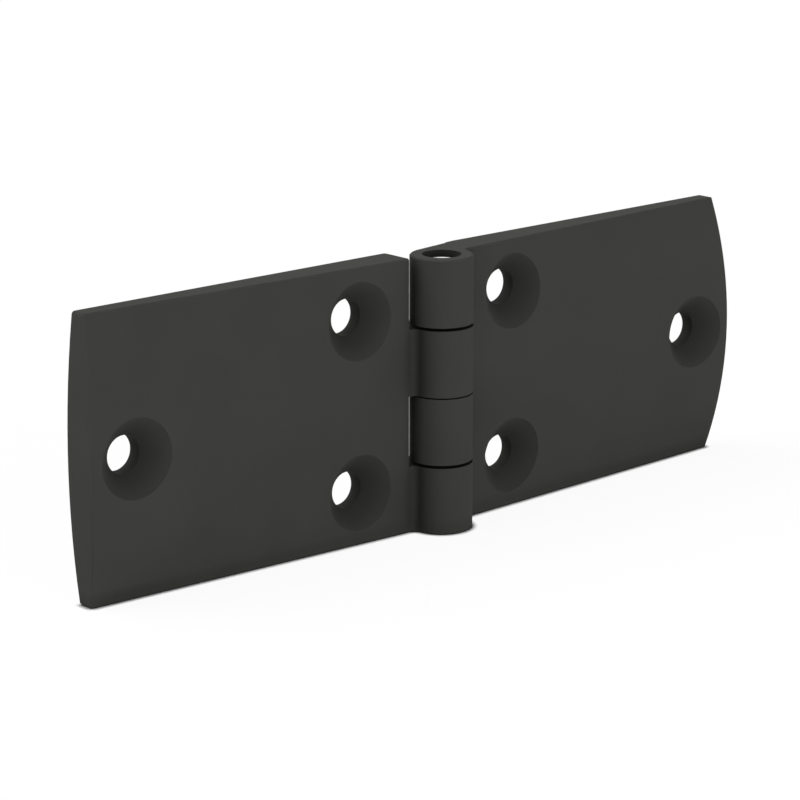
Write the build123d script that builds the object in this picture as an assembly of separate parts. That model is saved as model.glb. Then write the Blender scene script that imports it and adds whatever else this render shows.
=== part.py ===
"""Long back flap hinge: two identical cast leaves that turn on one steel pin.

The hinge stands open and flat on its lower edge. +X runs along its length, +Z along the
pin, and the front, where the screws go in, faces -Y. The origin is the middle of the
base of the bounding box.
"""

import os
from math import asin, atan2, cos, hypot, radians, sin, sqrt, tan

from build123d import *

# Overall, in millimetres
HEIGHT = 40.0  # along the pin
REACH = 61.0  # from the pin's axis to the tip of a leaf's bowed end
END_BOW = 1.3  # how far the bowed end stands out beyond its corners

# Leaf section: full thickness at mid height, thinning to the outer corners
LEAF_THICKNESS = 5.15
CORNER_THICKNESS = 2.35
EDGE_BREAK = 0.2  # 45-degree break along the front's outer edges
CORNER_RADIUS = 0.5

# Knuckles
BARREL_RADIUS = 4.55
AXIS_HEIGHT = 5.65  # the pin's axis above the mounting face
LEAF_START = 5.7  # from the pin's axis to the leaf's edge beside a foreign knuckle
START_RADIUS = 0.4  # rounding of that edge's corner at the back
RAMP_START = 7.2  # where the knuckle's back begins to rise from the mounting face
ROOT_RADIUS = 1.15  # fillet between a barrel and the leaf's front
KNUCKLE_COUNT = 4
OUTER_GAP = 0.45  # gap at the first and the last joint between knuckles
MIDDLE_GAP = 0.2

# Pin and its bores
PIN_DIAMETER = 5.5
PIN_RUNNING_CLEARANCE = 0.05  # radial, in the leaf that turns
PIN_PRESS_CLEARANCE = 0.0  # radial, in the leaf that holds the pin
PIN_RECESS = 1.0  # pin's ends below the outer knuckles' faces
PIN_CHAMFER = 0.15

# Screw holes: a pair beside the knuckles and one near the bowed end
HOLE_DIAMETER = 5.3
SINK_DIAMETER = 11.5  # at the leaf's full thickness
SINK_ANGLE = 90.0
PAIR_REACH = 14.8
PAIR_SPACING = 25.0
FAR_REACH = 53.55

# Depths from the pin's axis, towards the back
BACK = AXIS_HEIGHT
FRONT = AXIS_HEIGHT - LEAF_THICKNESS
AXIS_Y = (BARREL_RADIUS - AXIS_HEIGHT) / 2
PITCH = HEIGHT / KNUCKLE_COUNT
TRIM = 2.0  # how far a body runs past the faces that trim it


def leaf_section(x, edge_thickness):
    """Section across the leaf: front bowed over the height, both its edges broken, to be trimmed."""
    crown = LEAF_THICKNESS - edge_thickness
    low, high = EDGE_BREAK, HEIGHT - EDGE_BREAK
    if crown > 0:
        bow_radius = (HEIGHT**2 / 4 + crown**2) / (2 * crown)
        depth = FRONT + bow_radius - sqrt(bow_radius**2 - (high - HEIGHT / 2) ** 2)
        front = ThreePointArc((depth, low), (FRONT, HEIGHT / 2), (depth, high))
    else:
        depth = FRONT
        front = Line((depth, low), (depth, high))
    broken = depth + EDGE_BREAK + TRIM
    back = BACK + TRIM
    sides = Polyline((depth, high), (broken, HEIGHT + TRIM), (back, HEIGHT + TRIM),
                     (back, -TRIM), (broken, -TRIM), (depth, low))
    return Plane((x, 0, 0), x_dir=(0, 1, 0), z_dir=(1, 0, 0)) * make_face(front + sides)


def leaf_outline():
    """Leaf's front view with its bowed end, raised from the mounting face."""
    corner = REACH - END_BOW
    sides = Polyline((corner, HEIGHT), (LEAF_START, HEIGHT), (LEAF_START, 0), (corner, 0))
    bow = ThreePointArc((corner, 0), (REACH, HEIGHT / 2), (corner, HEIGHT))
    prism = extrude(Plane((0, BACK, 0), x_dir=(1, 0, 0), z_dir=(0, -1, 0)) * make_face(sides + bow),
                    amount=LEAF_THICKNESS + TRIM)
    ends = prism.edges().filter_by(Axis.Y).sort_by(Axis.X)[-2:]
    return fillet(ends, CORNER_RADIUS)


def bow_relief():
    """Sliver along the bowed end's front edge, drawn on the plane that lies across its break."""
    middle = (FRONT + EDGE_BREAK - REACH) / sqrt(2)
    corner = (BACK - CORNER_THICKNESS + EDGE_BREAK - REACH + END_BOW) / sqrt(2)
    bow = ThreePointArc((corner, 0), (middle, HEIGHT / 2), (corner, HEIGHT))
    sides = Polyline((corner, HEIGHT), (middle - TRIM, HEIGHT), (middle - TRIM, 0), (corner, 0))
    across = Plane((0, 0, 0), x_dir=(-1, 1, 0), z_dir=(1, 1, 0))
    return extrude(across * make_face(bow + sides), amount=REACH, both=True)


def leaf_plate():
    """Leaf without its knuckles: ruled from a flat section to the crowned outer one."""
    inner = leaf_section(LEAF_START, LEAF_THICKNESS)
    outer = leaf_section(REACH, CORNER_THICKNESS)
    return (loft([inner, outer], ruled=True) & leaf_outline()) - bow_relief()


def ramp_points():
    """Start of the knuckle's sloping back, and where that slope touches the barrel."""
    away = hypot(RAMP_START, BACK)
    slope = atan2(BACK, RAMP_START) - asin(BARREL_RADIUS / away)
    run = sqrt(away**2 - BARREL_RADIUS**2)
    return (RAMP_START, BACK), (RAMP_START - run * cos(slope), BACK - run * sin(slope))


def knuckle(low, high):
    """Barrel with its web to the leaf's edge, from one height to another, before boring."""
    start, touch = ramp_points()
    web = Polyline((0, 0), touch, start, (RAMP_START, FRONT), (0, FRONT), close=True)
    profile = Circle(BARREL_RADIUS) + make_face(web)
    root = profile.vertices().filter_by(lambda corner: abs(corner.Y - FRONT) < 0.01).sort_by(Axis.X)[0]
    profile = split(fillet(root, ROOT_RADIUS), bisect_by=Plane((LEAF_START, 0, 0), z_dir=(-1, 0, 0)))
    body = Pos(0, 0, low) * extrude(profile, amount=high - low)
    if high < HEIGHT:
        return body
    rim = body.faces().sort_by(Axis.Z)[-1].edges()
    return chamfer(rim.sort_by(Axis.X)[:-1], EDGE_BREAK)


def knuckle_spans():
    """Heights of one leaf's knuckles, from below: the third from the top and the uppermost."""
    lower = (PITCH + OUTER_GAP / 2, HEIGHT / 2 - MIDDLE_GAP / 2)
    upper = (HEIGHT - PITCH + OUTER_GAP / 2, HEIGHT)
    return lower, upper


def open_spans():
    """Heights where the leaf's edge faces the other leaf's knuckles."""
    lower, upper = knuckle_spans()
    return (0, lower[0]), (lower[1], upper[0])


def ramp_relief(low, high):
    """Wedge taken from the leaf's back where a knuckle's ramp begins."""
    start, touch = ramp_points()
    side = Polyline(start, touch, (touch[0], BACK + TRIM), (RAMP_START, BACK + TRIM), close=True)
    return Pos(0, 0, low) * extrude(make_face(side), amount=high - low)


def start_relief(low, high):
    """Sliver taken from the back corner of the leaf's edge beside a foreign knuckle."""
    half = START_RADIUS / 2
    block = Pos(LEAF_START + half, BACK - half) * Rectangle(START_RADIUS, START_RADIUS)
    sliver = block - Pos(LEAF_START + START_RADIUS, BACK - START_RADIUS) * Circle(START_RADIUS)
    return Pos(0, 0, low) * extrude(sliver, amount=high - low)


def screw_hole(x, z):
    """Countersunk hole's void, from the back face out through the front."""
    flare = tan(radians(SINK_ANGLE / 2))
    sink_depth = (SINK_DIAMETER - HOLE_DIAMETER) / 2 / flare
    cone_height = sink_depth + TRIM
    shaft = Cylinder(HOLE_DIAMETER / 2, 2 * (LEAF_THICKNESS + TRIM))
    rise = (Align.CENTER, Align.CENTER, Align.MIN)
    cone = Cone(HOLE_DIAMETER / 2, HOLE_DIAMETER / 2 + cone_height * flare, cone_height, align=rise)
    return Pos(x, FRONT + sink_depth, z) * Rot(90, 0, 0) * (shaft + cone)


def leaf(bore_clearance):
    """Right-hand leaf about the pin's axis, with its knuckles, bore and screw holes."""
    body = leaf_plate()
    for low, high in knuckle_spans():
        body -= ramp_relief(low, high)
        body += knuckle(low, high)
    for low, high in open_spans():
        body -= start_relief(low, high)
    body -= Cylinder(PIN_DIAMETER / 2 + bore_clearance, 3 * HEIGHT)
    places = [(PAIR_REACH, HEIGHT / 2 + side * PAIR_SPACING / 2) for side in (-1, 1)]
    for x, z in places + [(FAR_REACH, HEIGHT / 2)]:
        body -= screw_hole(x, z)
    return body


def pin():
    """Steel pin, a little shorter than the hinge."""
    length = HEIGHT - 2 * PIN_RECESS
    rod = Pos(0, 0, HEIGHT / 2) * Cylinder(PIN_DIAMETER / 2, length)
    return chamfer(rod.edges().filter_by(GeomType.CIRCLE), PIN_CHAMFER)


def placed(body):
    """Moves a piece from the pin's axis to the hinge's own frame."""
    return Pos(0, AXIS_Y, 0) * body


turned = Pos(0, 0, HEIGHT) * Rot(0, 180, 0)
nodes = {
    "left_leaf": placed(turned * leaf(PIN_PRESS_CLEARANCE)),
    "right_leaf": placed(leaf(PIN_RUNNING_CLEARANCE)),
    "hinge_pin": placed(pin()),
}

os.makedirs("parts", exist_ok=True)
for name, body in nodes.items():
    export_step(body, f"parts/{name}.step")
    print(name, round(body.volume, 1), body.bounding_box())
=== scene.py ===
"""Looks of a long back flap hinge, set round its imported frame.

Two black powder-coated leaves stand open and flat, joined by a bare steel pin. The camera
stands a little above them and to their left, over a plain white floor in soft light.
Lengths are in metres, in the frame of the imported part, and angles are in degrees.
"""

import logging
import math
from dataclasses import dataclass
from enum import Enum
from typing import ClassVar

import bpy
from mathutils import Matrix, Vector


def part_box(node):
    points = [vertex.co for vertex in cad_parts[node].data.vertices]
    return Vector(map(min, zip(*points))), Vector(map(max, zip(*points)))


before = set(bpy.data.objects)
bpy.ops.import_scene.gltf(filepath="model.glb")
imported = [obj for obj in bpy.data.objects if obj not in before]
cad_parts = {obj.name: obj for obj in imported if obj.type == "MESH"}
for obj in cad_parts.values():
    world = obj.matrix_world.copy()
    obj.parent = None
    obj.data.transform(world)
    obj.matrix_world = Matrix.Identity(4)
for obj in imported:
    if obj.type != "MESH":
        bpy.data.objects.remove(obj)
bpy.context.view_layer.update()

MILLIMETRE = 0.001

Colour = tuple[float, float, float, float]
Value = float | Colour | Vector | bpy.types.NodeSocket

WHITE: Colour = (1.0, 1.0, 1.0, 1.0)
MASK_SAMPLES = 4  # rays that each look at a surface adds to find the walls near it

log = logging.getLogger("hinge")


class Piece(Enum):
    """The hinge's pieces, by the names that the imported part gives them."""

    LEFT_LEAF = "left_leaf"
    RIGHT_LEAF = "right_leaf"
    PIN = "hinge_pin"


class Graph:
    """Adds nodes to one node tree and joins them."""

    def __init__(self, tree: bpy.types.NodeTree) -> None:
        """Takes over a node tree and empties it.

        Args:
            tree: The node tree of a material, a world or a group.
        """
        self.tree = tree
        tree.nodes.clear()

    def add(
        self, kind: str, inputs: dict[str | int, Value] | None = None, **settings: object
    ) -> bpy.types.Node:
        """Adds one node.

        Args:
            kind: Type of the node, as the program names it.
            inputs: Value or source socket of each input that is set, by its name or number.
            **settings: Options of the node itself, which are set first.

        Returns:
            The new node.
        """
        node = self.tree.nodes.new(kind)
        for name, setting in settings.items():
            setattr(node, name, setting)
        for name, value in (inputs or {}).items():
            if isinstance(value, bpy.types.NodeSocket):
                self.tree.links.new(value, node.inputs[name])
            else:
                node.inputs[name].default_value = value
        return node

    def math(self, operation: str, first: Value, second: Value = 0.0) -> bpy.types.NodeSocket:
        """Works out one number from two.

        Args:
            operation: Name of the sum, such as MULTIPLY.
            first: First number or source.
            second: Second number or source, which sums of one number leave out.

        Returns:
            The socket that holds the result.
        """
        return self.add("ShaderNodeMath", {0: first, 1: second}, operation=operation).outputs[0]

    def ramp(self, value: Value, low: Value, high: Value) -> bpy.types.NodeSocket:
        """Turns a range of numbers into a mask.

        Args:
            value: The number or its source.
            low: Number at which and below which the mask is 0.
            high: Number at which and above which the mask is 1.

        Returns:
            The socket that holds the mask.
        """
        inputs = {"Value": value, "From Min": low, "From Max": high}
        return self.add("ShaderNodeMapRange", inputs).outputs["Result"]

    def mix(self, mask: Value, first: Value, second: Value) -> bpy.types.NodeSocket:
        """Mixes two numbers.

        Args:
            mask: Share of the second number, from 0 to 1.
            first: Number where the mask is 0.
            second: Number where the mask is 1.

        Returns:
            The socket that holds the result.
        """
        return self.add("ShaderNodeMix", {0: mask, 2: first, 3: second}).outputs[0]

    def mix_colours(self, mask: Value, first: Value, second: Value) -> bpy.types.NodeSocket:
        """Mixes two colours.

        Args:
            mask: Share of the second colour, from 0 to 1.
            first: Colour where the mask is 0.
            second: Colour where the mask is 1.

        Returns:
            The socket that holds the result.
        """
        inputs = {0: mask, 6: first, 7: second}
        return self.add("ShaderNodeMix", inputs, data_type="RGBA").outputs[2]


def new_material(name: str) -> tuple[bpy.types.Material, Graph]:
    """Makes a material without nodes.

    Args:
        name: Name of the material.

    Returns:
        The material and the graph that its nodes are added to.
    """
    material = bpy.data.materials.new(name)
    material.use_nodes = True
    return material, Graph(material.node_tree)


def new_group(name: str, given: list[str], made: list[str]) -> bpy.types.NodeTree:
    """Makes an empty node group of number sockets.

    Args:
        name: Name of the group.
        given: Names of its inputs.
        made: Names of its outputs.

    Returns:
        The group's node tree.
    """
    tree = bpy.data.node_groups.new(name, "ShaderNodeTree")
    for socket in given:
        tree.interface.new_socket(socket, in_out="INPUT", socket_type="NodeSocketFloat")
    for socket in made:
        tree.interface.new_socket(socket, in_out="OUTPUT", socket_type="NodeSocketFloat")
    return tree


@dataclass(frozen=True)
class SurfaceGrain:
    """Fine grain and slow mottle of one finish, from a node group that the finishes share."""

    grain_size: float
    mottle_size: float
    peel_share: float  # how much of the height is the broader orange peel

    GROUP: ClassVar[str] = "surface_grain"
    FINE_DETAIL: ClassVar[float] = 2.0
    PEEL_DETAIL: ClassVar[float] = 1.0
    PEEL_SIZE: ClassVar[float] = 4.0  # width of the orange peel, in grains

    def place(self, graph: Graph) -> bpy.types.NodeOutputs:
        """Places the group in a material, with this finish's sizes.

        Args:
            graph: Graph of the material.

        Returns:
            The group's outputs, Height and Mottle, both from 0 to 1.
        """
        values = {
            "Grain Size": self.grain_size,
            "Mottle Size": self.mottle_size,
            "Peel Share": self.peel_share,
        }
        tree = bpy.data.node_groups.get(self.GROUP) or self._group(list(values))
        return graph.add("ShaderNodeGroup", values, node_tree=tree).outputs

    def _group(self, inputs: list[str]) -> bpy.types.NodeTree:
        """Builds the group, with the outputs Height and Mottle.

        Args:
            inputs: Names of its inputs.

        Returns:
            The group's node tree.
        """
        tree = new_group(self.GROUP, inputs, ["Height", "Mottle"])
        graph = Graph(tree)
        given = graph.add("NodeGroupInput").outputs
        fine_scale = graph.math("DIVIDE", 1.0, given["Grain Size"])
        peel_scale = graph.math("DIVIDE", fine_scale, self.PEEL_SIZE)
        mottle_scale = graph.math("DIVIDE", 1.0, given["Mottle Size"])
        fine = self._noise(graph, fine_scale, self.FINE_DETAIL)
        peel = self._noise(graph, peel_scale, self.PEEL_DETAIL)
        height = graph.mix(given["Peel Share"], fine, peel)
        mottle = self._noise(graph, mottle_scale, self.FINE_DETAIL)
        graph.add("NodeGroupOutput", {"Height": height, "Mottle": mottle})
        return tree

    def _noise(self, graph: Graph, scale: Value, detail: float) -> bpy.types.NodeSocket:
        """Adds one noise over the piece.

        Args:
            graph: Graph of the group.
            scale: How many times it varies in a metre.
            detail: How many finer layers it has.

        Returns:
            The socket that holds the noise, from 0 to 1.
        """
        place = graph.add("ShaderNodeTexCoord").outputs["Object"]
        inputs = {"Vector": place, "Scale": scale, "Detail": detail}
        return graph.add("ShaderNodeTexNoise", inputs).outputs["Fac"]


@dataclass(frozen=True)
class PaintedCreviceShade:
    """Painted shade in joints, holes and inner corners, from a node group that the finishes share."""

    # colour of the painted shade that stands in for the shade in crevices; at full depth it is
    # darkest
    colour: Colour
    hollow_reach: float  # how far off the piece's own walls count
    joint_reach: float  # how far off any piece's walls count
    depth: float  # open share of the view from a surface at which it has the full dark tone

    GROUP: ClassVar[str] = "painted_crevice_shade"

    def paint_shade(self, graph: Graph, face: Value) -> bpy.types.NodeSocket:
        """Lays painted shade over a finish, where walls close round it.

        Args:
            graph: Graph of the material.
            face: Colour of the open faces.

        Returns:
            The socket that holds the colour of the whole surface.
        """
        values = {
            "Hollow Reach": self.hollow_reach,
            "Joint Reach": self.joint_reach,
            "Crevice Depth": self.depth,
        }
        tree = bpy.data.node_groups.get(self.GROUP) or self._group(list(values))
        mask = graph.add("ShaderNodeGroup", values, node_tree=tree)
        # painted shade: the colour goes darker as walls close round the surface
        return graph.mix_colours(mask.outputs["Openness"], self.colour, face)

    def _group(self, inputs: list[str]) -> bpy.types.NodeTree:
        """Builds the group, with the output Openness, which is 0 deep in a crevice.

        Args:
            inputs: Names of its inputs.

        Returns:
            The group's node tree.
        """
        tree = new_group(self.GROUP, inputs, ["Openness"])
        graph = Graph(tree)
        given = graph.add("NodeGroupInput").outputs
        hollow = self._clear(graph, given["Hollow Reach"], only_local=True)
        near = self._clear(graph, given["Joint Reach"], only_local=False)
        joint = graph.mix(self._off_floor(graph, given["Joint Reach"]), 1.0, near)
        open_share = graph.math("MULTIPLY", hollow, joint)
        openness = graph.ramp(open_share, given["Crevice Depth"], 1.0)
        graph.add("NodeGroupOutput", {"Openness": openness})
        return tree

    def _clear(self, graph: Graph, reach: Value, only_local: bool) -> bpy.types.NodeSocket:
        """Adds the share of directions in which no wall lies within reach.

        Args:
            graph: Graph of the group.
            reach: How far off a wall still counts.
            only_local: Whether only the piece's own walls count.

        Returns:
            The socket that holds the share.
        """
        settings = {"samples": MASK_SAMPLES, "only_local": only_local}
        return graph.add("ShaderNodeAmbientOcclusion", {"Distance": reach}, **settings).outputs["AO"]

    def _off_floor(self, graph: Graph, reach: Value) -> bpy.types.NodeSocket:
        """Adds the share of the joints that counts at each height, for the floor is no joint.

        Args:
            graph: Graph of the group.
            reach: Height from which on joints count in full.

        Returns:
            The socket that is 0 on the floor and 1 from that height upwards.
        """
        place = graph.add("ShaderNodeTexCoord").outputs["Object"]
        height = graph.add("ShaderNodeSeparateXYZ", {0: place}).outputs["Z"]
        return graph.ramp(height, 0.0, reach)


@dataclass(frozen=True)
class PowderCoat:
    """Matt black powder coat, baked on over the whole casting, with painted shade in its holes,
    joints and inner corners.
    """

    colour: Colour = (0.041, 0.041, 0.0376, 1.0)
    mottle_tint: float = 0.12  # how far the colour strays, as a share
    roughness: float = 0.8
    roughness_spread: float = 0.05
    specular: float = 0.1
    grain_depth: float = 0.005 * MILLIMETRE
    grain: SurfaceGrain = SurfaceGrain(
        grain_size=0.22 * MILLIMETRE,
        mottle_size=9.0 * MILLIMETRE,
        peel_share=0.6,
    )
    # painted shade in holes, sinks, joints and corners beside the barrel
    painted_shade: PaintedCreviceShade = PaintedCreviceShade(
        colour=(0.005, 0.005, 0.0046, 1.0),
        hollow_reach=8.0 * MILLIMETRE,
        joint_reach=2.3 * MILLIMETRE,
        depth=0.2,
    )

    def material(self) -> bpy.types.Material:
        """Builds the coat's material.

        Returns:
            The new material.
        """
        material, graph = new_material("black_powder_coat")
        grain = self.grain.place(graph)
        dark, light = self._tone(1 - self.mottle_tint), self._tone(1 + self.mottle_tint)
        face = graph.mix_colours(grain["Mottle"], dark, light)
        smooth, rough = self.roughness - self.roughness_spread, self.roughness + self.roughness_spread
        bump = graph.add("ShaderNodeBump", {"Height": grain["Height"], "Distance": self.grain_depth})
        shader = graph.add("ShaderNodeBsdfPrincipled", {
            # painted shade: darker base colour where walls close round the surface
            "Base Color": self.painted_shade.paint_shade(graph, face),
            "Roughness": graph.mix(grain["Mottle"], smooth, rough),
            "Specular IOR Level": self.specular,
            "Normal": bump.outputs["Normal"],
        })
        graph.add("ShaderNodeOutputMaterial", {"Surface": shader.outputs["BSDF"]})
        return material

    def _tone(self, share: float) -> Colour:
        """Gives a darker or lighter tone of the coat's colour."""
        red, green, blue, alpha = self.colour
        return (red * share, green * share, blue * share, alpha)


@dataclass(frozen=True)
class TurnedSteel:
    """Pale bare steel with the fine rings that turning leaves, and painted shade in the joints."""

    colour: Colour = (0.95, 0.95, 0.94, 1.0)
    metallic: float = 1.0
    roughness: float = 0.9
    roughness_spread: float = 0.05
    ring_pitch: float = 0.11 * MILLIMETRE
    ring_depth: float = 0.002 * MILLIMETRE
    grain: SurfaceGrain = SurfaceGrain(
        grain_size=0.05 * MILLIMETRE,
        mottle_size=1.5 * MILLIMETRE,
        peel_share=0.3,
    )
    # painted shade on the pin where it runs inside the knuckles and their joints
    painted_shade: PaintedCreviceShade = PaintedCreviceShade(
        colour=(0.02, 0.018, 0.015, 1.0),
        hollow_reach=0.1 * MILLIMETRE,
        joint_reach=0.5 * MILLIMETRE,
        depth=0.55,
    )

    def material(self, centre: Vector) -> bpy.types.Material:
        """Builds the steel's material.

        Args:
            centre: Middle of the pin, which the rings run round.

        Returns:
            The new material.
        """
        material, graph = new_material("turned_steel")
        grain = self.grain.place(graph)
        smooth, rough = self.roughness - self.roughness_spread, self.roughness + self.roughness_spread
        height = graph.math("ADD", self._rings(graph, centre), grain["Height"])
        bump = graph.add("ShaderNodeBump", {"Height": height, "Distance": self.ring_depth})
        shader = graph.add("ShaderNodeBsdfPrincipled", {
            # painted shade: darker base colour where the pin is closed in
            "Base Color": self.painted_shade.paint_shade(graph, self.colour),
            "Metallic": self.metallic,
            "Roughness": graph.mix(grain["Mottle"], smooth, rough),
            "Normal": bump.outputs["Normal"],
        })
        graph.add("ShaderNodeOutputMaterial", {"Surface": shader.outputs["BSDF"]})
        return material

    def _rings(self, graph: Graph, centre: Vector) -> bpy.types.NodeSocket:
        """Adds the height of the turning rings, across the pin's ends and along its side.

        Args:
            graph: Graph of the material.
            centre: Middle of the pin.

        Returns:
            The socket that holds the height, from -1 to 1.
        """
        place = graph.add("ShaderNodeTexCoord").outputs["Object"]
        ends = {0: place, 1: centre}
        offset = graph.add("ShaderNodeVectorMath", ends, operation="SUBTRACT").outputs[0]
        parts = graph.add("ShaderNodeSeparateXYZ", {0: offset}).outputs
        flat = graph.add("ShaderNodeCombineXYZ", {0: parts["X"], 1: parts["Y"]}).outputs[0]
        radius = graph.add("ShaderNodeVectorMath", {0: flat}, operation="LENGTH").outputs["Value"]
        travel = graph.math("ADD", radius, parts["Z"])
        return graph.math("SINE", graph.math("MULTIPLY", travel, math.tau / self.ring_pitch))


def finish_piece(piece: Piece, material: bpy.types.Material) -> bpy.types.Object:
    """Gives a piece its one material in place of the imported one.

    Args:
        piece: The piece.
        material: Its new material.

    Returns:
        The piece's object.
    """
    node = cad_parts[piece.value]
    node.data.materials.clear()
    node.data.materials.append(material)
    return node


@dataclass(frozen=True)
class Leaves:
    """The two cast leaves with their knuckles and screw holes."""

    pieces: tuple[Piece, ...] = (Piece.LEFT_LEAF, Piece.RIGHT_LEAF)
    coat: PowderCoat = PowderCoat()

    def dress(self) -> list[bpy.types.Object]:
        """Gives the leaves one and the same coat.

        Returns:
            The leaves' objects.
        """
        material = self.coat.material()
        return [finish_piece(piece, material) for piece in self.pieces]


@dataclass(frozen=True)
class HingePin:
    """The pin that runs through the knuckles of both leaves."""

    piece: Piece = Piece.PIN
    steel: TurnedSteel = TurnedSteel()

    def dress(self) -> bpy.types.Object:
        """Gives the pin its turned finish.

        Returns:
            The pin's object.
        """
        lowest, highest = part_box(self.piece.value)
        return finish_piece(self.piece, self.steel.material((lowest + highest) / 2))


def seen_directly(graph: Graph) -> bpy.types.NodeSocket:
    """Adds the test for a ray that shows the backdrop, straight or in a mirror or glass.

    Args:
        graph: Graph of the backdrop's material.

    Returns:
        The socket that is 1 for such a ray and 0 for any other.
    """
    path = graph.add("ShaderNodeLightPath").outputs
    mirrored = graph.math("MAXIMUM", path["Is Glossy Ray"], path["Is Transmission Ray"])
    return graph.math("MAXIMUM", path["Is Camera Ray"], mirrored)


@dataclass(frozen=True)
class StudioFloor:
    """Plain white floor that the hinge stands on, with its faint shadow and a painted contact shadow
    under its edges.
    """

    reach: float = 4.0
    albedo: float = 0.8  # for the light that it throws back on the hinge
    shadow_share: float = 0.07  # how much of the shadow the eye is given
    # painted contact shadow: the white seen by the eye is darkened close to the hinge's walls
    painted_contact_reach: float = 0.9 * MILLIMETRE  # how far the dark line under an edge spreads
    painted_contact_depth: float = 0.5  # open share of the view at the foot of a wall

    def build(self) -> bpy.types.Object:
        """Builds the floor and its white surface.

        Returns:
            The floor's object.
        """
        sides = ((-1, -1), (1, -1), (1, 1), (-1, 1))
        corners = [(across * self.reach, along * self.reach, 0.0) for across, along in sides]
        mesh = bpy.data.meshes.new("studio_floor")
        mesh.from_pydata(corners, [], [range(len(corners))])
        mesh.materials.append(self._material())
        floor = bpy.data.objects.new("studio_floor", mesh)
        bpy.context.scene.collection.objects.link(floor)
        return floor

    def _material(self) -> bpy.types.Material:
        """Builds a white that the eye and mirrors see almost evenly lit, with a painted contact
        shadow along the hinge's foot.

        Returns:
            The floor's material.
        """
        material, graph = new_material("white_floor")
        seen = seen_directly(graph)
        lit = graph.add("ShaderNodeBsdfDiffuse", {"Color": graph.mix(seen, self.albedo, 1.0)})
        # painted contact shadow: the white goes darker where walls stand close by
        near = {"Distance": self.painted_contact_reach}
        clear = graph.add("ShaderNodeAmbientOcclusion", near, samples=MASK_SAMPLES).outputs["AO"]
        painted_contact_shadow = graph.ramp(clear, self.painted_contact_depth, 1.0)
        white_with_painted_shadow = graph.add("ShaderNodeEmission", {"Color": painted_contact_shadow, "Strength": 1.0})
        surface = graph.add("ShaderNodeMixShader", {
            0: graph.math("MULTIPLY", seen, 1 - self.shadow_share),
            1: lit.outputs["BSDF"],
            2: white_with_painted_shadow.outputs["Emission"],
        })
        graph.add("ShaderNodeOutputMaterial", {"Surface": surface.outputs["Shader"]})
        return material


def direction(turn: float, height: float) -> Vector:
    """Works out which way a place lies from the hinge.

    Args:
        turn: Turn from straight in front, towards the right.
        height: Height above the floor, as an angle.

    Returns:
        The direction, one long.
    """
    across, up = math.radians(turn), math.radians(height)
    level = math.cos(up)
    return Vector((math.sin(across) * level, -math.cos(across) * level, math.sin(up)))


@dataclass(frozen=True)
class SoftLight:
    """One large soft light far away, as a bright patch of the sky with a smooth rim."""

    turn: float  # from straight in front, towards the right
    height: float  # above the floor, as an angle
    gain: float  # strength at its middle
    spread: float  # angle from its middle to its rim

    def strength(self, graph: Graph, way: Value) -> bpy.types.NodeSocket:
        """Adds what this light gives from any direction.

        Args:
            graph: Graph of the world.
            way: Source of the direction that is looked in.

        Returns:
            The socket that holds the strength.
        """
        ends = {0: way, 1: direction(self.turn, self.height)}
        towards = graph.add("ShaderNodeVectorMath", ends, operation="DOT_PRODUCT")
        inputs = {
            "Value": towards.outputs["Value"],
            "From Min": math.cos(math.radians(self.spread)),
            "From Max": 1.0,
            "To Max": self.gain,
        }
        patch = graph.add("ShaderNodeMapRange", inputs, interpolation_type="SMOOTHSTEP")
        return patch.outputs["Result"]


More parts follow.
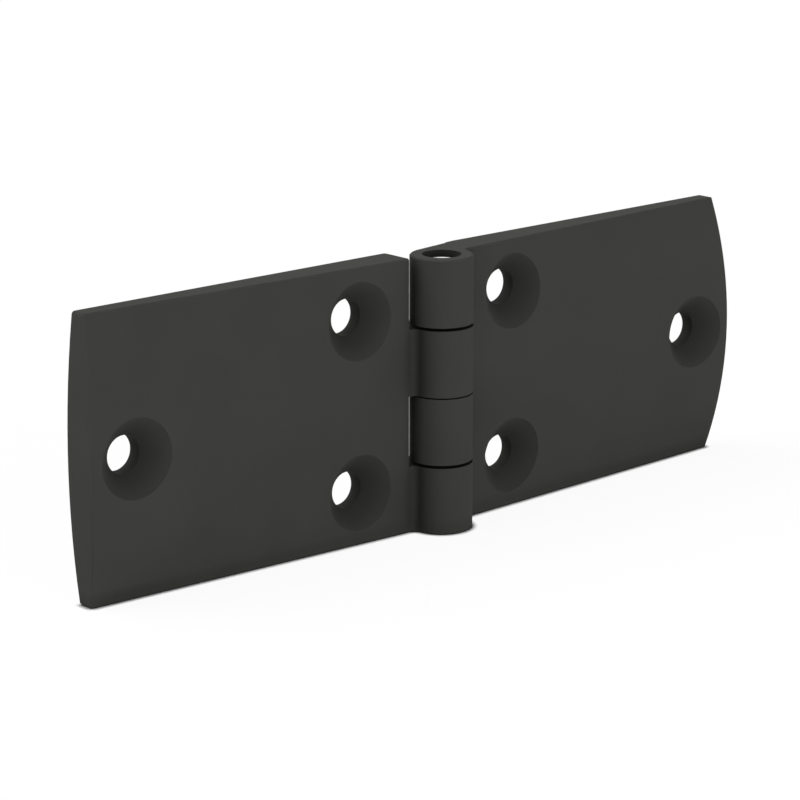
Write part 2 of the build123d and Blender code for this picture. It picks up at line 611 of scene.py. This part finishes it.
@dataclass(frozen=True)
class StudioSky:
    """Soft lights with a little light from all round, and the white behind the hinge."""

    lights: tuple[SoftLight, ...] = (
        SoftLight(turn=3.0, height=0.0, gain=4.5, spread=44.0),
        SoftLight(turn=-127.0, height=55.0, gain=4.1, spread=43.0),
    )
    ambient: float = 0.08

    def build(self) -> bpy.types.World:
        """Builds the world that gives the light.

        Returns:
            The world.
        """
        world = bpy.data.worlds.new("studio_sky")
        world.use_nodes = True
        bpy.context.scene.world = world
        graph = Graph(world.node_tree)
        way = graph.add("ShaderNodeTexCoord").outputs["Generated"]
        strength = self.ambient
        for light in self.lights:
            strength = graph.math("ADD", strength, light.strength(graph, way))
        lit = graph.add("ShaderNodeBackground", {"Color": WHITE, "Strength": strength})
        backdrop = graph.add("ShaderNodeBackground", {"Color": WHITE, "Strength": 1.0})
        surface = graph.add("ShaderNodeMixShader", {
            0: seen_directly(graph),
            1: lit.outputs["Background"],
            2: backdrop.outputs["Background"],
        })
        graph.add("ShaderNodeOutputWorld", {"Surface": surface.outputs["Shader"]})
        return world


@dataclass(frozen=True)
class StudioCamera:
    """Camera a little above the hinge and to the left of its front."""

    aim: tuple[float, float, float] = (-0.0046, 0.0031, 0.018806)
    turn: float = -41.792  # from straight in front of the aim, towards the right
    height: float = 14.786  # above the aim, as an angle
    distance: float = 0.42696
    lens: float = 134.93  # in millimetres
    sensor: float = 36.0  # in millimetres
    nearest: float = 0.01

    def build(self) -> bpy.types.Object:
        """Builds the camera and makes it the scene's own.

        Returns:
            The camera's object.
        """
        data = bpy.data.cameras.new("studio_camera")
        data.lens = self.lens
        data.sensor_width = self.sensor
        data.clip_start = self.nearest
        camera = bpy.data.objects.new("studio_camera", data)
        back = direction(self.turn, self.height)
        camera.location = Vector(self.aim) + back * self.distance
        camera.rotation_euler = (-back).to_track_quat("-Z", "Y").to_euler()
        bpy.context.scene.collection.objects.link(camera)
        bpy.context.scene.camera = camera
        return camera


def main() -> None:
    """Dresses the hinge, builds the studio round it and reports each piece."""
    logging.basicConfig(level=logging.INFO, format="%(name)s: %(message)s")
    bpy.context.scene.view_settings.view_transform = "Standard"
    for leaf in Leaves().dress():
        log.info("%s: coated black, %d faces", leaf.name, len(leaf.data.polygons))
    pin = HingePin().dress()
    log.info("%s: bare steel, %d faces", pin.name, len(pin.data.polygons))
    floor = StudioFloor().build()
    log.info("%s: white, %.1f m wide", floor.name, floor.dimensions.x)
    sky = StudioSky()
    log.info("%s: %d soft lights", sky.build().name, len(sky.lights))
    camera = StudioCamera().build()
    log.info("%s: lens %.1f mm", camera.name, camera.data.lens)


if __name__ == "__main__":
    main()
